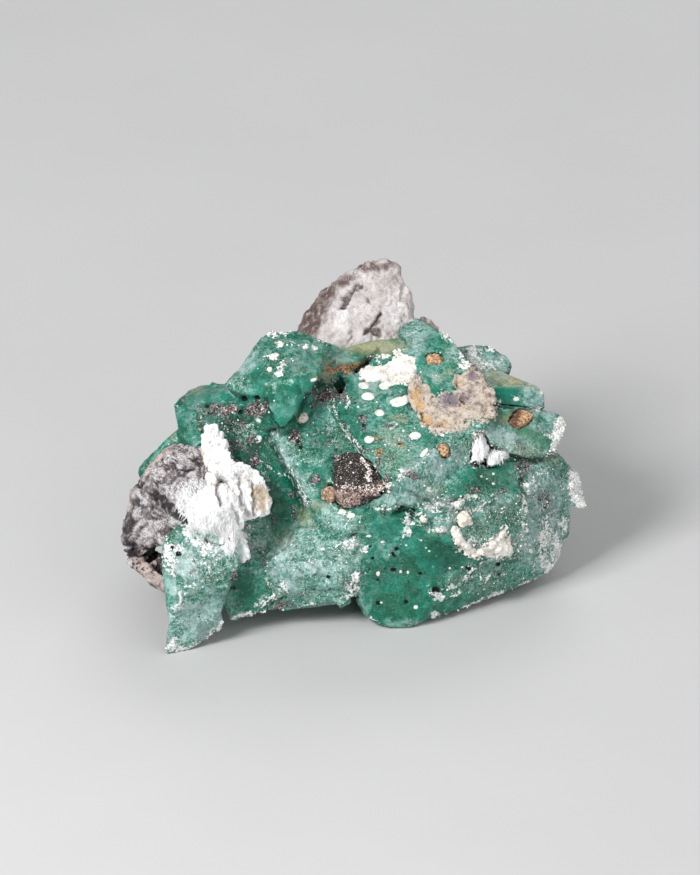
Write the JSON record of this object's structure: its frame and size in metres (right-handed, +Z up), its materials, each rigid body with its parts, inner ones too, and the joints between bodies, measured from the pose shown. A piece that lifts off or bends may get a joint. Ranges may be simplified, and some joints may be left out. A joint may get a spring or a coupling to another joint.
{
  "type": "melanterite specimen",
  "caption": "Rough clump of blocky green melanterite crystals grown into each other, with grey host rock, a dark ore lump, grains and white and tan crusts.",
  "frame": {"origin": "centre of the bounding box's bottom face, on the table the specimen stands on", "axes": "+X to the right along the specimen's longest extent as the showing side is looked at, +Y to its far side, +Z up"},
  "size_m": [0.0706, 0.052, 0.0434],
  "materials": {
    "melanterite": "vitreous, frosted in places",
    "pale_host_rock": "dull, fibrous",
    "grey_host_rock": "dull, fibrous",
    "dark_ore": "sparkling, granular",
    "brown_grain": "dull",
    "tan_crust": "powdery",
    "cream_grain": "dull",
    "white_crust": "powdery, fibrous"
  },
  "bodies": {
    "root": {"melanterite_crystals": "melanterite", "top_host_rock": "pale_host_rock", "small_host_rock": "pale_host_rock", "left_host_rock": "grey_host_rock", "ore_lump": "dark_ore", "brown_grain_right": "brown_grain", "brown_grain_upper": "brown_grain", "brown_grain_small": "brown_grain", "tan_grain": "tan_crust", "cream_grain": "cream_grain", "cream_pebble": "cream_grain", "white_nodule": "white_crust", "white_fibre_crust": "white_crust", "white_fibre_pocket": "white_crust", "white_powder_crust": "white_crust", "white_rim_crust": "white_crust", "tan_crust": "tan_crust"}
  },
  "joints": []
}
